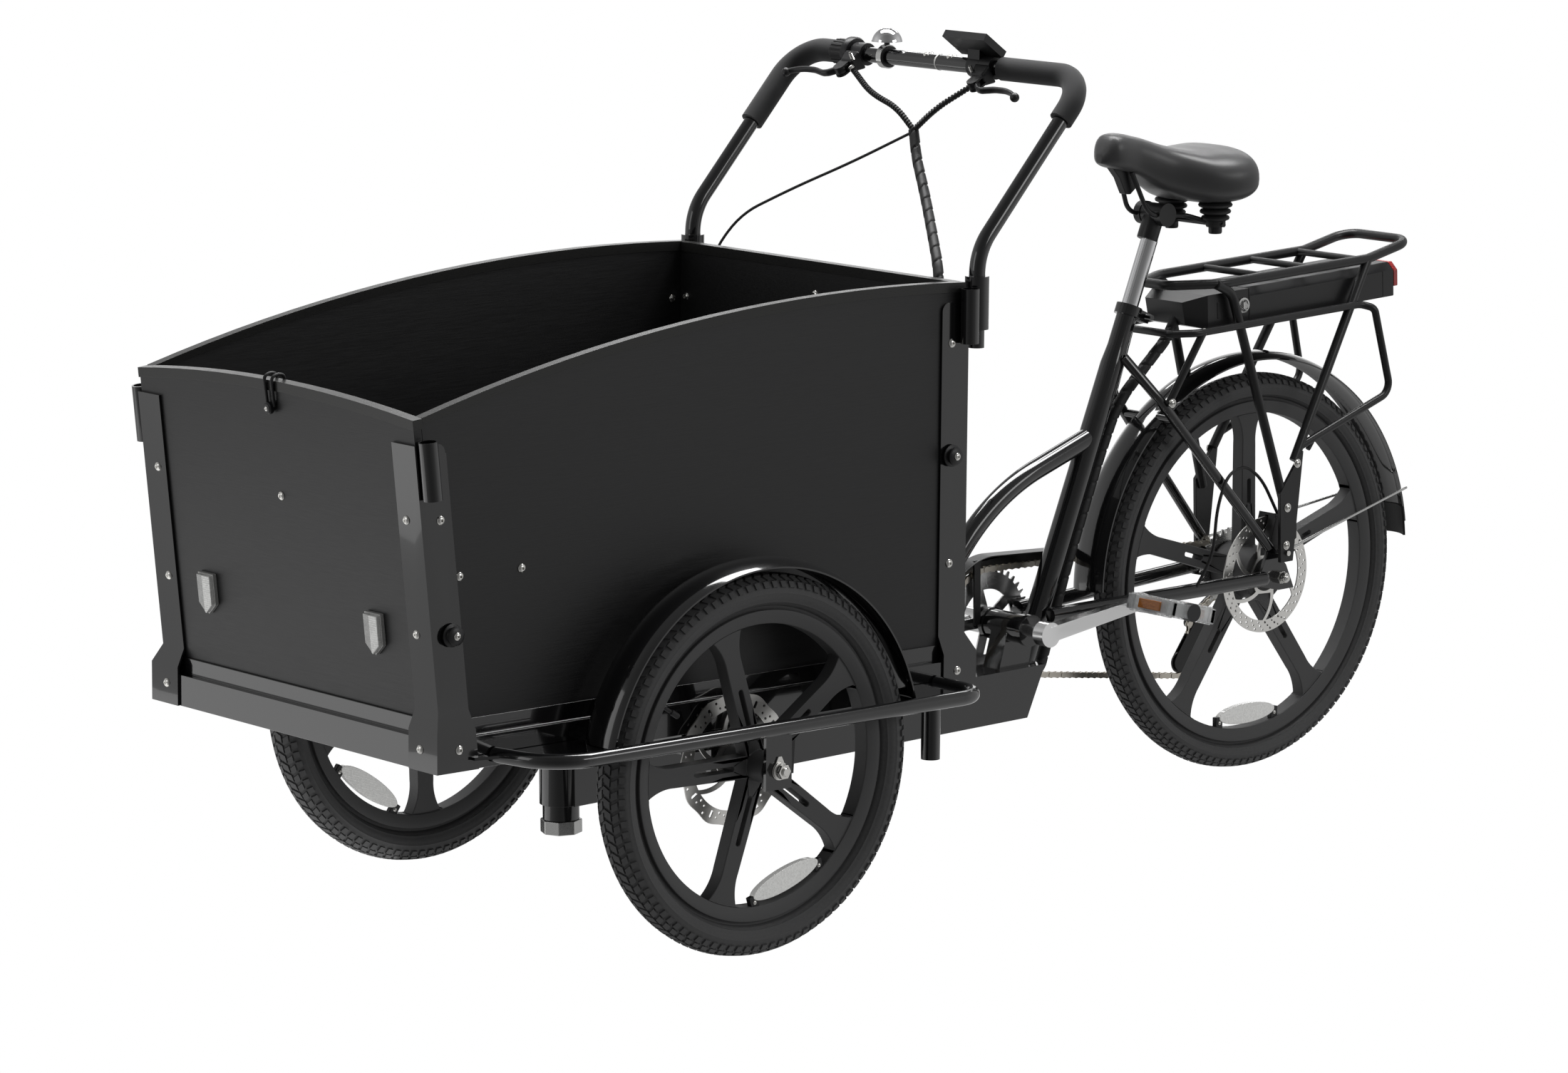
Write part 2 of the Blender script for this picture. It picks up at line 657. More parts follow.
def fitReflector(name, body, hub, swing, radius):
    size = spokeReflector
    turn = radians(swing)
    out, along = spoke(turn), Vector((-sin(turn), 0, cos(turn)))
    centre = hub + Vector((0, size["off"], 0))
    place = moved(centre + out * radius) @ axes(along, out, Vector((0, 1, 0)))
    blob(name, [(*lensForm(size["half"], size["wide"], size["thick"]), place)], whitePrism, body, bevel=1.5)
    clips, screws = [], []
    span, thick = size["clipSpan"], size["clipThick"]
    for end in (-1, 1):
        x = end * size["half"]
        clips.append((*boxForm((x - size["clip"], x + size["clip"]), span, (-thick, thick)), place))
        screws.append((*domeForm(*size["screw"]), place @ moved((x, sum(span) / 2, thick))))
    blob(name + "Clips", clips, plastic, body, bevel=1.2)
    blob(name + "Screws", screws, boltSteel, body)


def fitValve(name, body, centre, swing, radius, mat):
    out = spoke(radians(swing))
    blob(name, [(*lathe(valve, 16), aim(centre + out * radius, -out))], mat, body)


fitReflector("leftSpokeReflector", "left_wheel", leftHub, 254, 166)
fitReflector("rightSpokeReflector", "right_wheel", rightHub, -54, 166)
fitReflector("rearSpokeReflector", "rear_wheel", rearHub, -90, 216)
fitValve("leftValve", "left_wheel", leftHub, 33, 187, rubber)
fitValve("rightValve", "right_wheel", rightHub, 120, 187, rubber)
fitValve("rearValve", "rear_wheel", rearHub, 129, 250, rubber)
print("wheel fittings made")


mudguard = {"frontIn": 264, "rearIn": 320, "half": 30.5, "crown": 9, "bulge": 2.2, "thick": 1.8, "lip": 2.2,
            "frontEnd": 311, "endRise": 4, "rearSpan": (2, 173)}
flap = {"inset": 1.2, "narrow": 1, "thick": 2.4, "lip": 0.5, "span": (169, 177), "steps": 12}


def guardForm(inner, half, thick, lip, span, steps=96):
    section = []
    for k in range(17):
        share = -1 + 2 * k / 16
        section.append((inner + mudguard["crown"] * (1 - abs(share) ** mudguard["bulge"]), half * share))
    inside = [(r - thick, y * (half - thick) / half) for r, y in reversed(section)]
    lips = [(section[k][0] - lip, section[k][1]) for k in (0, -1)]
    ring = [lips[0]] + section + [lips[1]] + inside
    verts = []
    for step in range(steps + 1):
        turn = radians(span[0] + (span[1] - span[0]) * step / steps)
        verts += [(r * cos(turn), y, r * sin(turn)) for r, y in ring]
    return verts, skinFaces(steps + 1, len(ring))


def fitMudguards():
    size = mudguard
    half, thick, lip = size["half"], size["thick"], size["lip"]
    low = degrees(asin((size["frontEnd"] - frontR) / (size["frontIn"] + size["endRise"])))
    shell = guardForm(size["frontIn"], half, thick, lip, (low, 180 - low))
    parts = [(*shell, moved(hub)) for hub in (leftHub, rightHub)]
    obj = blob("frontGuards", parts, glossBlack, "carriage", boxSpace, sharp=50)
    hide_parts("front_mudguards")
    place = moved(rearHub)
    shell = guardForm(size["rearIn"], half, thick, lip, size["rearSpan"])
    obj = blob("rearGuard", [(*shell, place)], glossBlack, "rear_frame", sharp=50)
    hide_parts("rear_mudguard")
    shell = guardForm(size["rearIn"] - flap["inset"], half - flap["narrow"], flap["thick"], flap["lip"],
                      flap["span"], flap["steps"])
    blob("rearFlap", [(*shell, place)], rubber, "rear_frame", sharp=50)


fitMudguards()
print("mudguards made")


# saddle
saddle = {"nose": -965, "length": 251, "half": 98, "low": 858, "tall": 110, "rows": 64, "around": 56,
          "belt": 0.42, "endShare": 0.035, "topSide": 0.72, "topRise": 0.8, "lowSide": 0.34, "lowDrop": 0.62,
          "tuck": 0.2, "tuckCurve": 1.4, "crowd": 0.45, "endWide": 0.35, "endTall": 0.4, "endLeast": 0.0004}
saddleRows = [(0.0, 0.12, 0.8, 0.64), (0.07, 0.26, 1.0, 0.57), (0.25, 0.29, 0.95, 0.45),
              (0.45, 0.48, 0.81, 0.2), (0.65, 0.86, 0.715, 0.03), (0.8, 1.0, 0.725, 0.0),
              (0.93, 0.94, 0.715, 0.04), (1.0, 0.62, 0.58, 0.15)]  # place, width, top, bottom
saddleKeel = [(-984, 922), (-1000, 904), (-1012, 880), (-1022, 879), (-1034, 888), (-1030, 906), (-1010, 918)]


def smoothRow(share):
    rows = saddleRows
    k = max(i for i in range(len(rows) - 1) if rows[i][0] <= share + 1e-9)
    span = rows[k + 1][0] - rows[k][0]
    t = (share - rows[k][0]) / span
    values = []
    for n in range(1, 4):
        p0, p1 = rows[k][n], rows[k + 1][n]
        m0, m1 = p1 - p0, p1 - p0
        if k > 0:
            m0 = (p1 - rows[k - 1][n]) / (rows[k + 1][0] - rows[k - 1][0]) * span
        if k + 2 < len(rows):
            m1 = (rows[k + 2][n] - p0) / (rows[k + 2][0] - rows[k][0]) * span
        values.append((2 * t ** 3 - 3 * t ** 2 + 1) * p0 + (t ** 3 - 2 * t ** 2 + t) * m0
                      + (3 * t ** 2 - 2 * t ** 3) * p1 + (t ** 3 - t ** 2) * m1)
    return values


def saddleForm():
    size = saddle
    rows, around = size["rows"], size["around"]
    verts = []
    for row in range(rows + 1):
        swing = cos(pi * (row / rows))
        share = 0.5 - 0.5 * swing * (1 - size["crowd"] + size["crowd"] * abs(swing))  # crowded ends
        share = min(max(share, 0), 1)
        wide, high, low = smoothRow(share)
        near, endRound = min(share, 1 - share), 1
        if near < size["endShare"]:
            endRound = min(1, sqrt(max(size["endLeast"], 1 - (1 - near / size["endShare"]) ** 2)))
        half = size["half"] * wide * (size["endWide"] + (1 - size["endWide"]) * endRound)
        top, bottom = size["low"] + size["tall"] * high, size["low"] + size["tall"] * low
        middle = bottom + (top - bottom) * size["belt"]
        top = middle + (top - middle) * (size["endTall"] + (1 - size["endTall"]) * endRound)
        x = size["nose"] - size["length"] * share
        for k in range(around):
            c, s = polar(1, fullTurn * k / around)
            if s >= 0:
                y = half * squared(c, size["topSide"])
                z = middle + (top - middle) * abs(s) ** size["topRise"]
            else:
                y = half * squared(c, size["lowSide"]) * (1 - size["tuck"] * abs(s) ** size["tuckCurve"])
                z = middle - (middle - bottom) * abs(s) ** size["lowDrop"]
            verts.append((x, y, z))
    return verts, skinFaces(rows + 1, around), still


bellows = {"x": -1156, "y": 45, "z": 830, "nutZ": 826, "folds": 4, "first": 6, "step": 9.5, "r": 19,
           "grow": 2.1}
foldShape = [(-4, -3.4), (1, -1.2), (2, 1.4), (0.4, 4), (-4, 5.6)]


def fitSaddle():
    obj = blob("saddlePad", [saddleForm()], saddleSkin, "saddle", sharp=80)
    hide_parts("saddle_cover")
    keel = slabForm([(x, -z) for x, z in saddleKeel], -7, 7)
    blob("saddleKeel", [(*keel, wheelAxis)], plastic, "saddle", bevel=1.5)
    size = bellows
    profile = [(0.1, -6), (13, -6), (15, -2), (15, 2)]
    for k in range(size["folds"]):
        radius, high = size["r"] + k * size["grow"], size["first"] + k * size["step"]
        profile += [(radius + out, high + up) for out, up in foldShape]
    form = lathe(profile + [(24, 44), (0.1, 44)], 40)
    nut = lathe([(0.1, -12), (9, -12), (10, -10), (10, -2), (0.1, -2)], 18)
    springs, nuts = [], []
    for side in (-1, 1):
        springs.append((*form, moved((size["x"], side * size["y"], size["z"]))))
        nuts.append((*nut, moved((size["x"], side * size["y"], size["nutZ"]))))
    obj = blob("saddleBellows", springs, rubber, "saddle", sharp=50)
    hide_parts("saddle_springs")
    blob("bellowNuts", nuts, plastic, "saddle")


fitSaddle()
print("saddle made")


# handlebar, grips and looms
bar = {"x": -640, "z": 1109, "y": 297, "footX": -440.5, "footZ": 757, "kneeZ": 887, "r": 11.1, "knee": 80,
       "corner": 55, "boltY": 24, "boltTurns": (60, 118), "boltOut": 10.8}
foam = {"r": 16.5, "leftFrom": 129, "leftDown": 74, "rightFrom": 217.6, "rightDown": 136}
barKnee, barCorner = Vector((bar["footX"], bar["y"], bar["kneeZ"])), Vector((bar["x"], bar["y"], bar["z"]))
barLine = Vector((bar["x"], 0, bar["z"]))
legDir = (barKnee - barCorner).normalized()


def flip(path):
    return [Vector((p[0], -p[1], p[2])) for p in path]


def alongBar(y):
    return aim((bar["x"], y, bar["z"]), (0, 1, 0))


def gripPath(start, down):
    return roundPath([(bar["x"], start, bar["z"]), barCorner, barCorner + legDir * down], [bar["corner"]], 16)


def fitBar():
    half = roundPath([(bar["footX"], bar["y"], bar["footZ"]), barKnee, barCorner, barLine],
                     [bar["knee"], bar["corner"]], 16)
    path = half + list(reversed(flip(half)))[1:]
    obj = tube("barTube", path, bar["r"], glossBlack, "carriage", boxSpace, 8)
    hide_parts("handlebar")
    left, right = gripPath(foam["leftFrom"], foam["leftDown"]), gripPath(foam["rightFrom"], foam["rightDown"])
    obj = tube("leftFoam", left, foam["r"], foamBlack, "carriage", boxSpace, 8)
    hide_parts("bar_grips")
    tube("rightFoam", flip(right), foam["r"], foamBlack, "carriage", boxSpace, 8)
    blob("barJointRing", [(*rod(11.5, -1.4, 1.4, 32, 11), alongBar(0))], ringWhite, "carriage", boxSpace)
    bolts = []
    for y in (-bar["boltY"], bar["boltY"]):
        for swing in bar["boltTurns"]:
            out = spoke(radians(swing))
            bolts.append((*domeForm(4.2, 2.6), aim(barLine + Vector((0, y, 0)) + out * bar["boltOut"], out)))
    blob("barJointBolts", bolts, boltSteel, "carriage", boxSpace)


fitBar()


mainWrap = {"radius": 7.5, "turnLength": 26, "groove": 0.12, "depth": 1.3}
branchWrap = {"radius": 4.5, "turnLength": 5.2, "groove": 0.42, "depth": 1.5, "step": 0.75, "count": 16}
rearWrap = {"radius": 8.5, "turnLength": 24, "groove": 0.12, "depth": 1.2}
cable = {"thin": 2.0, "brake": 2.4, "elastic": 2.2, "wrapSharp": 35}
junction = (-584, 8, 1018)
mainRoute = [junction, (-572, 28, 982), (-540, 82, 936), (-500, 142, 890), (-464, 196, 846), (-446, 216, 770),
             (-443, 220, 680), (-443, 219, 590), (-445, 220, 500), (-449, 219, 410), (-452, 218, 340),
             (-452, 216, 286.4), (-380, 214, 286.4)]
thinRoute = [(-584, 8, 1016), (-548, -80, 968), (-512, -160, 928), (-474, -232, 886), (-444, -258, 830),
             (-437, -262, 750), (-437, -262, 660), (-438, -261, 570), (-441, -261, 480), (-446, -260, 400),
             (-447, -258, 340), (-447, -256, 291.9), (-380, -254, 291.9)]
leftBranch = [(-617.8, 100.5, 1089.5), (-588, 50, 1052), junction]
rightBranch = [(-617.8, -159.5, 1089.5), (-592, -92, 1062), (-588, -32, 1046), junction]
rearRoute = [(-1112, 14, 700), (-1092, 14, 666), (-1052, 11, 630), (-1001, 2, 576), (-966, 0, 500),
             (-932, 0, 420), (-897, 0, 336), (-873, 0, 270), (-850, 0, 208), (-832, 0, 198)]
brakeRoute = [(-1098, 66, 297), (-1126, 75, 346), (-1134, 75, 416), (-1156, 74, 462), (-1200, 66, 470),
              (-1248, 54, 442), (-1284, 55, 380)]


def fitLooms():
    sharp = cable["wrapSharp"]
    coils = [wrapped(cordPath(mainRoute), **mainWrap)]
    obj = blob("mainLoom", coils, rubber, "carriage", boxSpace, sharp)
    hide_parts("bar_looms")
    coils = [wrapped(cordPath(route), **branchWrap) for route in (leftBranch, rightBranch)]
    blob("branchLooms", coils, rubber, "carriage", boxSpace, sharp)
    tube("thinCable", cordPath(thinRoute), cable["thin"], rubber, "carriage", boxSpace, 4)
    coils = [wrapped(cordPath(rearRoute), **rearWrap)]
    obj = blob("rearLoom", coils, rubber, "rear_frame", rowSpace, sharp)
    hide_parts("rear_cables")
    path = cordPath(brakeRoute)
    tube("rearBrakeCable", path, cable["brake"], rubber, "rear_frame", rowSpace, 4)


fitLooms()
print("bar and looms made")


# controls on the bar
lever = {"tilt": 30, "out": 42, "side": 5.5, "wide": 11, "thick": 6.4, "square": 0.6, "tip": 6.6,
         "around": 16, "narrows": 0.25, "thins": 0.15}
leverMarks = [(-4, -2, 0), (8, 3, 0), (17, 10, 0), (26, 12, 0), (48, 7, 0), (70, 7, 0),
              (88, 12, 0), (99, 19, 0)]
leverBends = [14, 12, 12, 40, 50, 40]
leverTilt = radians(lever["tilt"])
leverOut = Vector((cos(leverTilt), 0, -sin(leverTilt)))
leverAxis = Vector((sin(leverTilt), 0, cos(leverTilt)))


def fitLever(name, node, body, perchY, side):
    size = lever
    line = roundPath(leverMarks, leverBends, 4)
    verts = []
    for k, at in enumerate(line):
        ahead = aheadOf(line, k)
        over = Vector((-ahead.y, ahead.x, 0))
        share = k / (len(line) - 1)
        wide = size["wide"] * (1 - size["narrows"] * share) / 2
        thick = size["thick"] * (1 - size["thins"] * share) / 2
        for c, s in ngon(size["around"], 1):
            up = Vector((0, 0, wide * squared(s, size["square"])))
            verts.append(at + over * (thick * squared(c, size["square"])) + up)
    pivot = barLine + leverOut * size["out"] + Vector((0, perchY + side * size["side"], 0))
    place = moved(pivot) @ axes(Vector((0, side, 0)), leverOut, leverAxis)
    parts = [(verts, skinFaces(len(line), size["around"]), place)]
    ball = []
    for k in range(13):
        high, out = polar(size["tip"], pi * k / 12)
        ball.append((out + 0.02, -high))
    parts.append((*lathe(ball, 20), place @ moved(line[-1])))
    parts.append((*lathe([(0.1, -4), (8, -4), (8.4, -3), (8.4, 3), (8, 4), (0.1, 4)], 24), place))
    obj = blob(name, parts, plastic, body, boxSpace, sharp=50)
    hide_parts(node)


perch = {"left": 104, "right": -163, "near": (13, 15, 15), "far": (31, 12, 9), "side": 1.5, "screwOut": 26,
         "screwSide": 9, "screwStand": 6, "capOut": -15.4, "threads": 5, "threadFrom": 8, "threadStep": 2.2}


def fitPerch(name, perchY, side):
    size = perch
    verts = []
    for out, wide, tall in (size["near"], size["far"]):
        for along, up in ((-1, -1), (1, -1), (1, 1), (-1, 1)):
            across = Vector((0, perchY + side * size["side"] + along * wide, 0))
            verts.append(barLine + leverOut * out + across + leverAxis * (up * tall))
    faces = [(0, 1, 2, 3), (4, 5, 6, 7), (0, 1, 5, 4), (1, 2, 6, 5), (2, 3, 7, 6), (3, 0, 4, 7)]
    blob(name, [(verts, faces, still)], plastic, "carriage", boxSpace, bevel=3)
    low = barLine + leverOut * size["screwOut"] + Vector((0, perchY - side * size["screwSide"], 0))
    barrel = lathe([(0.1, -1), (3.2, -1), (3.2, 6), (2.4, 7), (0.1, 7)], 16)
    stand = size["screwStand"]
    screws = [(*barrel, aim(low + leverOut * stand, leverOut)),
              (*rod(2, 0, 14, 12), aim(low + leverAxis * stand, leverAxis))]
    thread = lathe([(2, 0), (3.1, 0.5), (2, 1.4)], 12)
    for k in range(size["threads"]):
        up = size["threadFrom"] + size["threadStep"] * k
        screws.append((*thread, aim(low + leverAxis * up, leverAxis)))
    cap = barLine + leverOut * size["capOut"] + Vector((0, perchY, 0))
    screws.append((*domeForm(3.4, 2.2), aim(cap, -leverOut)))
    blob(name + "Screws", screws, boltSteel, "carriage", boxSpace)


shift = {"dialY": -182, "dialR": 23, "ribY": -203, "ribs": 18, "ribOut": (17, 18.6), "ribLong": (-12, 12),
         "ribWide": (-1.5, 1.5)}
bell = {"y": -112, "half": 5, "in": 16.1, "out": 16.8}


def fitControls():
    fitLever("leftLeverBlade", "left_brake_lever", "left_lever", perch["left"], 1)
    fitLever("rightLeverBlade", "right_brake_lever", "right_lever", perch["right"], -1)
    fitPerch("leftPerchShell", perch["left"], 1)
    fitPerch("rightPerchShell", perch["right"], -1)
    size = shift
    dial = lathe([(19, -6), (size["dialR"], -5), (size["dialR"], 3), (21, 6), (19, 6)], 36)
    dialParts = [(*dial, alongBar(size["dialY"]))]
    blob("shiftDial", dialParts, plastic, "carriage", boxSpace)
    ribs = []
    rib = boxForm(size["ribOut"], size["ribLong"], size["ribWide"])
    middle = moved((bar["x"], size["ribY"], bar["z"]))
    for k in range(size["ribs"]):
        ribs.append((*rib, middle @ sideAxes(spoke(fullTurn * k / size["ribs"]))))
    blob("shiftRibs", ribs, rubber, "shifter", boxSpace, bevel=0.5)
    y, half = bell["y"], bell["half"]
    strap = [(*rod(bell["out"], -half, half, 36, bell["in"]), alongBar(y)),
             (*boxForm((-26, -12), (-half, half), (-3, 3)), moved((bar["x"], y, bar["z"]))),
             (*domeForm(3.2, 2.2), aim((bar["x"] - 22, y, bar["z"] + 3), (0, 0, 1)))]
    blob("bellStrap", strap, steel, "carriage", boxSpace)


fitControls()
print("controls made")


# bolts, knobs and loop on the box
boxFront = {"x": 467, "z": 358, "lean": 6.1}  # where the front panel starts to lean
boxBolt = {"r": 6.2, "tall": 3.6, "post": 300.3, "rail": 312, "wall": 296.7, "inside": 284.7,
           "rear": -408.2, "frontOut": 3.3, "frontY": 270, "frontZ": (468, 615), "foot": (482, 277, 322),
           "rearY": 272, "rearZ": 770, "latch": (5, 801), "latchFront": 610, "sunk": -0.3}
tentKnob = {"r": 15, "tall": 12, "screw": (5.4, 3), "studZ": 726, "studScrew": (3.4, 2), "studTall": 11}
lean = radians(boxFront["lean"])
leanOut = Vector((cos(lean), 0, -sin(lean)))


def frontX(z):
    return boxFront["x"] + max(0, z - boxFront["z"]) * tan(lean)


def leanPoint(out, y, z):  # spot at a height on the front panel, moved out from its face
    up = (z - boxFront["z"]) / cos(lean)
    x = boxFront["x"] + out * cos(lean) + up * sin(lean)
    return Vector((x, y, boxFront["z"] - out * sin(lean) + up * cos(lean)))


postBolts = [(frontX(615) - 27, 615), (-393.5, 767), (-393.5, 468)]
railBolts = [(447, 322), (-400.5, 322)]
wallBolts = [(336, 540), (435, 540)]
knobSpots = [(frontX(468) - 27, 468), (-393.5, 615)]
elastic = [(3, 7, 728), (3.6, 7.5, 748), (4, 8, 766), (-6, 8, 769), (-16, 8, 766), (-17, 8, 742)]


def boltPlaces():
    size = boxBolt
    places = []
    for side in (-1, 1):
        for y, spots in ((size["post"], postBolts), (size["rail"], railBolts), (size["wall"], wallBolts)):
            places += [aim((x, side * y, z), (0, side, 0)) for x, z in spots]
        front = [leanPoint(size["frontOut"], side * size["frontY"], z) for z in size["frontZ"]]
        places += [aim(spot, leanOut) for spot in front]
        x, y, z = size["foot"]
        places.append(aim((x, side * y, z), (1, 0, 0)))
        for x, z in postBolts + wallBolts + knobSpots[1:]:
            places.append(aim((x, side * size["inside"], z), (0, -side, 0)))  # inner ends
        places.append(aim((size["rear"], side * size["rearY"], size["rearZ"]), (1, 0, 0)))
    places.append(aim((size["rear"], *size["latch"]), (1, 0, 0)))
    places.append(aim(leanPoint(size["sunk"], 0, size["latchFront"]), leanOut))
    return places


def fitBolts():
    head = domeForm(boxBolt["r"], boxBolt["tall"])
    parts = [(*head, place) for place in boltPlaces()]
    obj = blob("boxBolts", parts, boltSteel, "carriage", boxSpace)
    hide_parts("panel_bolts")
    r, tall = tentKnob["r"], tentKnob["tall"]
    knob = lathe([(0.1, 0), (9, 0), (9, 2), (r, 3), (r, 4.5), (11, 6), (10.5, 9), (12.5, 10), (12.5, tall),
                  (10, tall + 2), (0.1, tall + 2)], 32)
    knobs, tips = [], []
    for side in (-1, 1):
        for x, z in knobSpots:
            knobs.append((*knob, aim((x, side * boxBolt["post"], z), (0, side, 0))))
            tip = aim((x, side * (boxBolt["post"] + tall + 2), z), (0, side, 0))
            tips.append((*domeForm(*tentKnob["screw"]), tip))
    top, z, sunk = tentKnob["studTall"], tentKnob["studZ"], boxBolt["sunk"]
    stud = lathe([(0.1, 0), (5, 0), (5, 3), (8, 4), (8, 9), (6, top), (0.1, top)], 24)
    knobs.append((*stud, aim(leanPoint(sunk, 0, z), leanOut)))
    tips.append((*domeForm(*tentKnob["studScrew"]), aim(leanPoint(sunk + top, 0, z), leanOut)))
    blob("tentKnobs", knobs, plastic, "carriage", boxSpace)
    blob("knobScrews", tips, boltSteel, "carriage", boxSpace)
    for side, name in ((-1, "elasticRight"), (1, "elasticLeft")):
        path = cordPath([leanPoint(out, side * y, z) for out, y, z in elastic])
        tube(name, path, cable["elastic"], rubber, "carriage", boxSpace, 4)


fitBolts()


shield = {"half": 17, "tall": 56, "thick": 11, "point": 0.26, "hatch": 0.2, "y": 182, "z": 456, "rim": 0.55,
          "sunk": 0.5}


def shieldOutline(half, tall, point):
    shoulder = -tall / 2 + tall * point
    return [(-half, tall / 2), (half, tall / 2), (half, shoulder), (0, -tall / 2), (-half, shoulder)]


def shieldHalves(half, tall, point, hatch):  # hatched strip and clear field
    shoulder = -tall / 2 + tall * point
    cut, drop = -half * hatch, -tall / 2 + tall * point * hatch
    left = [(-half, tall / 2), (cut, tall / 2), (cut, drop), (-half, shoulder)]
    right = [(cut, tall / 2), (half, tall / 2), (half, shoulder), (0, -tall / 2), (cut, drop)]
    return left, right


def fitShields():
    size = shield
    half, tall, thick, point = size["half"], size["tall"], size["thick"], size["point"]
    left, right = shieldHalves(half - 2, tall - 4, point, size["hatch"])
    basis = axes(Vector((0, 1, 0)), Vector((sin(lean), 0, cos(lean))), leanOut)
    lenses, rims, strips = [], [], []
    for side in (-1, 1):
        place = moved(leanPoint(boxBolt["sunk"], side * size["y"], size["z"])) @ basis
        rims.append((*slabForm(shieldOutline(half, tall, point), 0, thick * size["rim"]), place))
        lenses.append((*slabForm(right, thick * size["sunk"], thick), place))
        strips.append((*slabForm(left, thick * size["sunk"], thick - 1), place))
    obj = blob("shieldLenses", lenses, shieldPrism, "carriage", boxSpace, bevel=1.4)
    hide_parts("front_reflectors")
    blob("shieldStrips", strips, shieldHatch, "carriage", boxSpace, bevel=0.8)
    blob("shieldRims", rims, shieldHatch, "carriage", boxSpace, bevel=1)


fitShields()
print("box fittings made")


# chain and pedals
crank = {"x": -791, "z": 275, "r": 170, "turn": 171}
drive = {"pitch": 12.7, "ring": 76.8, "cog": 36.4, "pulley": 20.2, "y": -50, "plate": 0.9, "end": 4.6,
         "waist": 3.1, "inner": 1.7, "outer": 2.55}
chainWheels = [(Vector((crank["x"], 0, crank["z"])), drive["ring"], 1),
               (Vector((-1182, 0, 160)), drive["pulley"], 1),
               (Vector((-1222, 0, 212)), drive["pulley"], -1), (rearHub, drive["cog"], 1)]


def chainPath():
    runs = []
    for k in range(4):
        (a, ra, sa), (b, rb, sb) = chainWheels[k], chainWheels[(k + 1) % 4]
        way = b - a
        tilt = asin((ra * sa - rb * sb) / way.length)
        out = spoke(atan2(way.z, way.x) - tilt + pi / 2)
        runs.append((a + out * ra * sa, b + out * rb * sb))
    path = []
    for k in range(4):
        start, end = runs[k]
        path += [start, end]
        centre, radius, hand = chainWheels[(k + 1) % 4]
        first, last = end - centre, runs[(k + 1) % 4][0] - centre
        low, high = atan2(first.z, first.x), atan2(last.z, last.x)
        sweep = (high - low) % fullTurn
        sweep = sweep - fullTurn if hand > 0 else sweep
        for n in range(1, 24):
            x, z = polar(radius, low + sweep * n / 24)
            path.append(centre + Vector((x, 0, z)))
    path.append(path[0])
    return path


def linkOutline(length):
    size = drive
    outline = []
    for x, start, waist in ((0, pi / 2, -size["waist"]), (length, -pi / 2, size["waist"])):
        for n in range(13):
            out, up = polar(size["end"], start + pi * n / 12)
            outline.append((x + out, up))
        outline.append((length / 2, waist))
    return outline


def fitChain():
    path = chainPath()
    length = sum((b - a).length for a, b in zip(path, path[1:]))
    count = 2 * round(length / drive["pitch"] / 2)
    pins = evenPath(path, length / count)[:count]
    parts = []
    eye, roller = rod(2.0, -3.1, 3.1, 10), rod(3.7, -1.6, 1.6, 12)
    across = Matrix.Rotation(pi / 2, 4, "X")
    for k, pin in enumerate(pins):
        ahead = pins[(k + 1) % count] - pin
        place = moved(pin + Vector((0, drive["y"], 0))) @ sideAxes(ahead.normalized())
        off = drive["outer"] if k % 2 else drive["inner"]
        for side in (-1, 1):
            low, high = sorted((side * off, side * (off + drive["plate"])))
            verts, faces = slabForm(linkOutline(ahead.length), low, high)
            parts.append(([(x, z, y) for x, y, z in verts], faces, place))
        parts += [(*eye, place @ across), (*roller, place @ across)]
    obj = blob("chainLinks", parts, chainSteel, "rear_frame")
    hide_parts("chain")


fitChain()


pedal = {"y": 112, "wide": 92, "half": 44, "bar": 11, "rail": 8, "core": 13, "waist": 10, "bore": 6.3,
         "tip": 15, "teeth": 9, "toothHalf": 2.2, "amber": (24, 68), "endHalf": 10, "railHalf": 11,
         "toothTop": 13, "margin": 8}


def fitPedal(name, node, body, side):
    size = pedal
    half, core, waist = size["half"], size["core"], size["waist"]
    end, rail, top = size["endHalf"], size["railHalf"], size["toothTop"]
    x, z = polar(side * crank["r"], radians(crank["turn"]))
    centre = Vector((crank["x"] + x, 0, crank["z"] + z))
    place = moved(centre) @ Matrix.Rotation(-radians(size["tip"]), 4, "Y")  # front edge up
    y0, y1 = size["y"], size["y"] + size["wide"]
    ends = sorted((side * y0, side * (y0 + size["bar"])))
    tips = sorted((side * (y1 - size["bar"]), side * y1))
    span = sorted((side * y0, side * y1))
    parts = [(*boxForm((-half, half), ys, (-end, end)), place) for ys in (ends, tips)]
    for ahead in (-1, 1):
        xs = sorted((ahead * (half - size["rail"]), ahead * half))
        parts.append((*boxForm(xs, span, (-rail, rail)), place))
        for n in range(size["teeth"]):  # gripping teeth
            y = span[0] + size["margin"] + n * (size["wide"] - 2 * size["margin"]) / (size["teeth"] - 1)
            for zs in ((-top, -end), (end, top)):
                parts.append((*boxForm(xs, (y - size["toothHalf"], y + size["toothHalf"]), zs), place))
    obj = blob(name, parts, clearPlastic, body, bevel=1)
    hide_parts(node)
    low, high = sorted((side * (y0 + 1), side * (y1 + 1)))
    first, last = (size["bore"], 0.1) if side > 0 else (0.1, size["bore"])  # open towards the crank
    form = lathe([(first, low), (core, low), (core, low + 14), (waist, low + 22), (waist, high - 22),
                  (core, high - 14), (core, high), (last, high)], 28)
    blob(name + "Core", [(*form, place @ wheelAxis)], plastic, body)
    amber = []
    for ahead in (-1, 1):
        xs = sorted((ahead * (half - 1), ahead * (half + 2.2)))
        ys = sorted(side * (y0 + y) for y in size["amber"])
        amber.append((*boxForm(xs, ys, (-7, 7)), place))
    blob(name + "Amber", amber, amberPrism, body, bevel=1)


fitPedal("leftPedalBody", "left_pedal", "left_pedal_body", 1)
fitPedal("rightPedalBody", "right_pedal", "right_pedal_body", -1)
print("drive made")


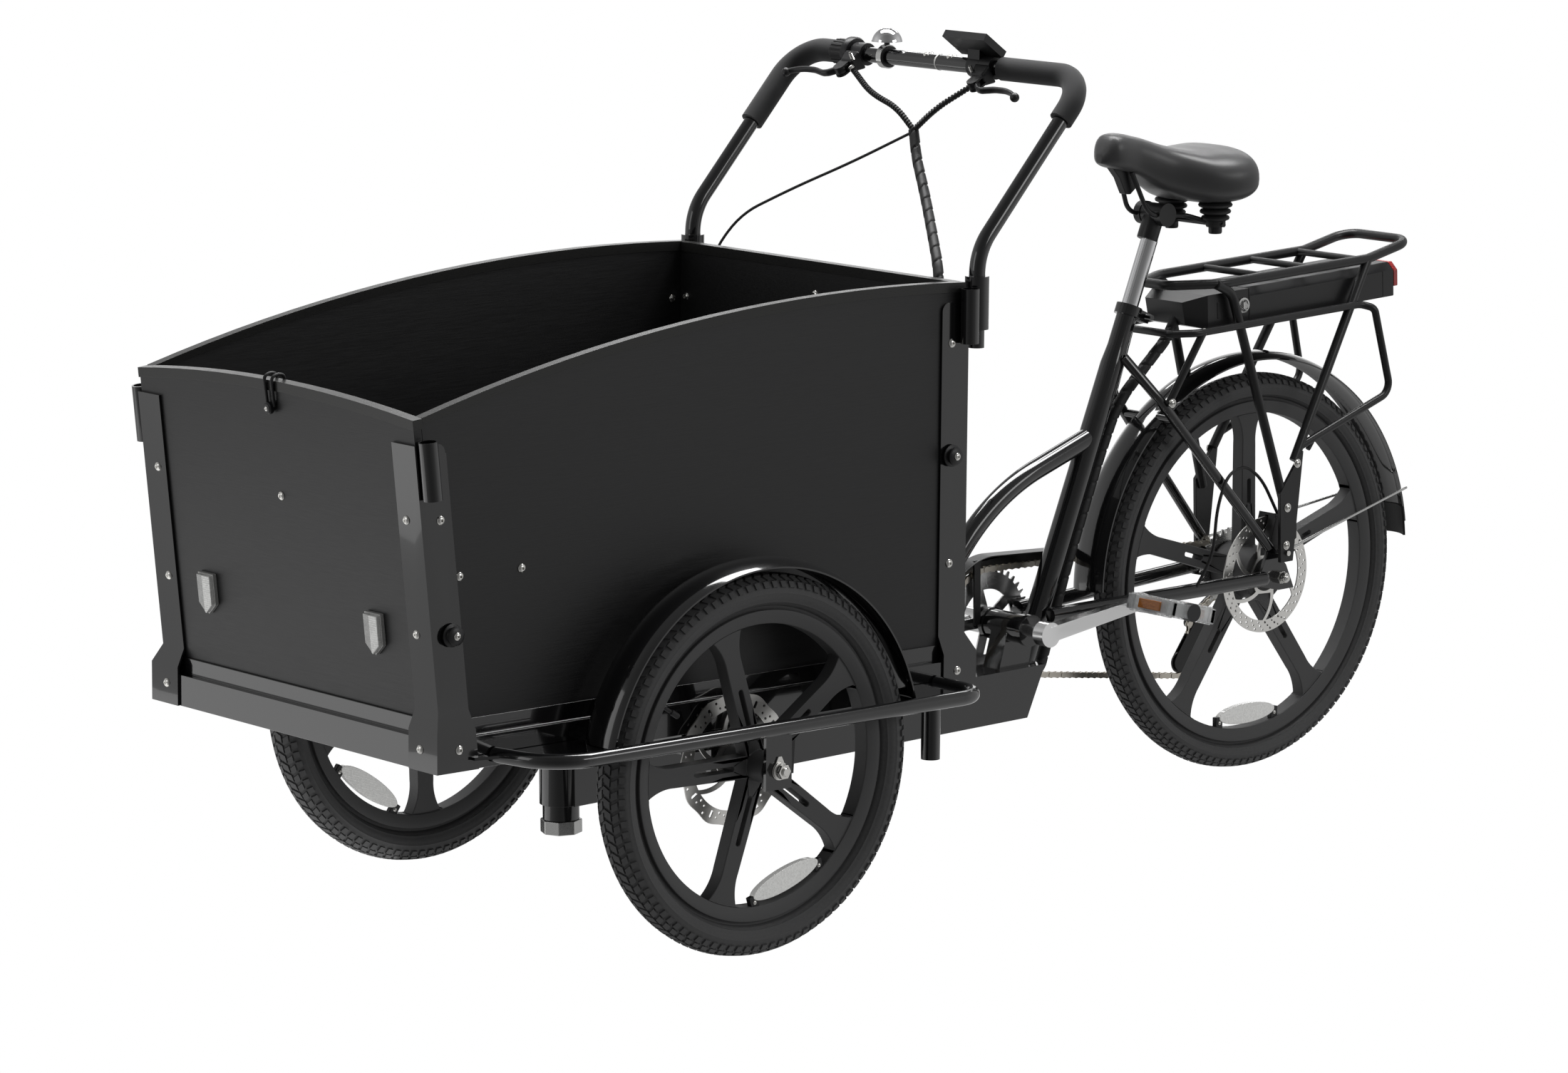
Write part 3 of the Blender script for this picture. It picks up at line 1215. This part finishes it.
# small parts
frontNut = {"y": 409, "washer": 12.5, "arcFrom": 0.7, "arc": 1.6, "tab": [(3, 19), (-3, 19)], "thick": 2.4,
            "lift": 3}
rearNut = {"y": 73.2, "stay": (-1264, 86, 334)}
steeringNut = {"x": 36, "r": 28.5, "low": 106, "high": 124.5}
rackBolts = [(-1104, 74, 677), (-1051, 64, 578), (-1264, 90, 402), (-1284, 90, 466), (-1262, 90, 346)]


def hexNut(radius, tall):
    return slabForm(ngon(6, radius), 0, tall)


def fitNuts():
    nuts, washers, rear = [], [], []
    size = frontNut
    turns = [pi * (size["arcFrom"] + size["arc"] * k / 24) for k in range(25)]
    washer = [polar(size["washer"], turn) for turn in turns] + size["tab"]
    collar = lathe([(0.1, 2.4), (12, 2.4), (12, 4), (9, 5), (0.1, 5)], 28)
    stub = lathe([(0.1, 9), (6, 9), (6, 14), (5, 15.5), (0.1, 15.5)], 20)
    cap = lathe([(0.1, 8), (8, 8), (8.4, 12), (6.6, 17), (3, 19.5), (0.1, 20)], 24)
    for side in (-1, 1):
        out = Vector((0, side, 0))
        spot = Vector((0, side * size["y"], frontR))
        stand = axes(Vector((-side, 0, 0)), Vector((0, 0, 1)), out)
        washers.append((*slabForm(washer, 0, size["thick"]), moved(spot) @ stand))
        nuts += [(*collar, aim(spot, out)), (*hexNut(10.4, 9.5), aim(spot + out * size["lift"], out)),
                 (*stub, aim(spot, out))]
        axle = aim((-wheelBase, side * rearNut["y"], rearR), out)
        x, y, z = rearNut["stay"]
        stay = aim((x, side * y, z), out)
        rear += [(*hexNut(10, 8), axle), (*cap, axle), (*hexNut(6, 5), stay), (*rod(4, 5, 9, 16), stay)]
    blob("axleWashers", washers, boltSteel, "carriage", boxSpace, bevel=0.6)
    blob("axleNuts", nuts, boltSteel, "carriage", boxSpace, bevel=0.5)
    blob("rearNuts", rear, boltSteel, "rear_frame", bevel=0.4)
    pin = steeringNut
    form = slabForm(ngon(8, pin["r"]), pin["low"], pin["high"])
    blob("steeringNut", [(*form, moved((pin["x"], 0, 0)))], steel, "carriage", bevel=1)


def fitRackBolts():
    parts = []
    for side in (-1, 1):
        for x, y, z in rackBolts:
            place = aim((x, side * (y + 2), z), (0, side, 0))
            parts += [(*domeForm(5.4, 3.2), place), (*rod(6.6, -2, 0, 20), place)]
    blob("rackBolts", parts, boltSteel, "rear_frame")


lockPlace = (-1202, 57, 703)
batterySeams = [((-1214.2, -1213.2), (-57.6, 57.6), (678, 727.4)),
                ((-1497.5, -1496.5), (-57.4, 57.4), (678, 716))]
chargeFlap = ((-1152, -1148), (56, 57.8), (690, 714))


def fitLockRing():
    ring = lathe([(9.2, 0), (11.6, 0), (11.6, 1.4), (9.2, 2)], 32)
    blob("lockRing", [(*ring, aim(lockPlace, (0, 1, 0)))], steel, "rear_frame", rackSpace)
    seams = [(*boxForm(*seam), still) for seam in batterySeams]
    blob("batterySeam", seams, rubber, "battery", rackSpace)
    blob("chargeFlap", [(*boxForm(*chargeFlap), still)], rubber, "rear_frame", rackSpace, bevel=0.6)


seatClamp = {"place": (-1077, 0, 846), "way": (-211.6, 0, 497)}


def fitSeatClamp():
    place = seatClamp["place"]
    collar = lathe([(11, -40), (14.8, -40), (15.4, -38), (15.4, -6), (11, -6)], 32)
    parts = [(*rod(15.8, -15.2, 15.2, 32, 6), aim(place, (0, 1, 0))),
             (*collar, aim(place, Vector(seatClamp["way"]).normalized()))]
    blob("seatClampCore", parts, rackBlack, "seat_pillar", bevel=0.6)


fitNuts()
fitRackBolts()
fitLockRing()
fitSeatClamp()
print("small parts made")

print("size written")
